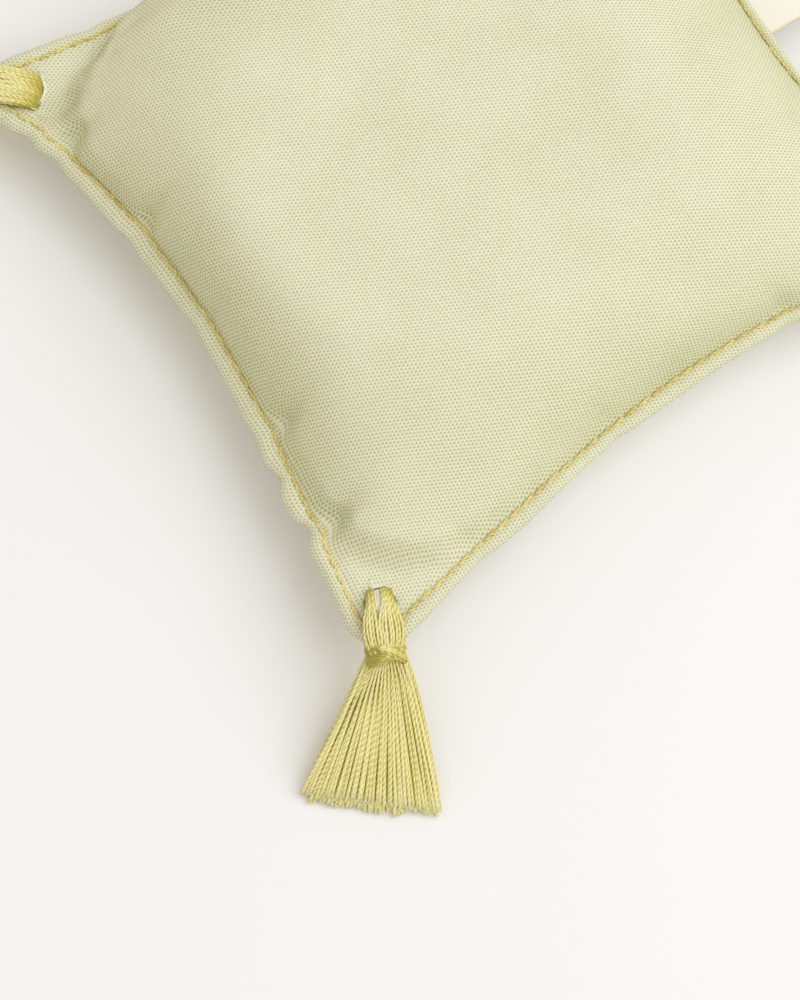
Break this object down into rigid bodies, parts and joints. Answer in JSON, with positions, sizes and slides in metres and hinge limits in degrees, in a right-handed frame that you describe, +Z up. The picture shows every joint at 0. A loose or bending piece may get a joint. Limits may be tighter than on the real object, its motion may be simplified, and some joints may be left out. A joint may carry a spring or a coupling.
{
  "type": "lavender sachet",
  "caption": "Small square padded cloth sachet filled with wadding and dried lavender, topstitched round its edge, with a folded seam label and a yarn tassel looped through each corner.",
  "frame": {"origin": "on the surface that the sachet lies on, under the middle of the cushion", "axes": "+Z up through the crown, X and Y along the cushion's sides, the label on the +X side"},
  "size_m": [0.1414, 0.1412, 0.0236],
  "materials": {
    "cloth": "pale green plain-weave cotton with cream and grey-green threads",
    "wadding": "white fibre wadding",
    "lavender": "dried lavender buds",
    "gold_thread": "golden yellow sewing thread",
    "seam_thread": "pale green sewing thread",
    "label": "cream woven tape, bare",
    "yarn": "soft yellow twisted cotton yarn"
  },
  "bodies": {
    "cushion": {"front_panel": "cloth", "back_panel": "cloth", "front_wadding": "wadding", "back_wadding": "wadding", "lavender_buds": "lavender", "needle_thread": "gold_thread", "bobbin_thread": "gold_thread", "closing_seam_thread": "seam_thread", "side_label": "label"},
    "tassel_front_left_head": {"tassel_loop_front_left": "yarn", "tassel_tie_front_left": "yarn"},
    "tassel_front_left_skirt": {"tassel_skirt_front_left": "yarn"},
    "tassel_front_right_head": {"tassel_loop_front_right": "yarn", "tassel_tie_front_right": "yarn"},
    "tassel_front_right_skirt": {"tassel_skirt_front_right": "yarn"},
    "tassel_back_right_head": {"tassel_loop_back_right": "yarn", "tassel_tie_back_right": "yarn"},
    "tassel_back_right_skirt": {"tassel_skirt_back_right": "yarn"},
    "tassel_back_left_head": {"tassel_loop_back_left": "yarn", "tassel_tie_back_left": "yarn"},
    "tassel_back_left_skirt": {"tassel_skirt_back_left": "yarn"}
  },
  "joints": [
    {"name": "front_left_sway", "type": "hinge", "parent": "cushion", "child": "tassel_front_left_head", "pos_m": [-0.0465, -0.044, 0.0095], "axis": [0, 0, 1], "range_deg": [-20, 20]},
    {"name": "front_left_lift", "type": "hinge", "parent": "tassel_front_left_head", "child": "tassel_front_left_skirt", "pos_m": [-0.05407, -0.05443, 0.0095], "axis": [-0.809, 0.5878, 0], "range_deg": [-60, 100]},
    {"name": "front_right_sway", "type": "hinge", "parent": "cushion", "child": "tassel_front_right_head", "pos_m": [0.0465, -0.044, 0.0095], "axis": [0, 0, 1], "range_deg": [-20, 20]},
    {"name": "front_right_lift", "type": "hinge", "parent": "tassel_front_right_head", "child": "tassel_front_right_skirt", "pos_m": [0.05495, -0.05373, 0.0095], "axis": [-0.7547, -0.6561, 0], "range_deg": [-60, 100]},
    {"name": "back_right_sway", "type": "hinge", "parent": "cushion", "child": "tassel_back_right_head", "pos_m": [0.0465, 0.044, 0.0095], "axis": [0, 0, 1], "range_deg": [-20, 20]},
    {"name": "back_right_lift", "type": "hinge", "parent": "tassel_back_right_head", "child": "tassel_back_right_skirt", "pos_m": [0.05407, 0.05443, 0.0095], "axis": [0.809, -0.5878, 0], "range_deg": [-60, 100]},
    {"name": "back_left_sway", "type": "hinge", "parent": "cushion", "child": "tassel_back_left_head", "pos_m": [-0.0465, 0.044, 0.0095], "axis": [0, 0, 1], "range_deg": [-20, 20]},
    {"name": "back_left_lift", "type": "hinge", "parent": "tassel_back_left_head", "child": "tassel_back_left_skirt", "pos_m": [-0.05495, 0.05373, 0.0095], "axis": [0.7547, 0.6561, 0], "range_deg": [-60, 100]}
  ]
}
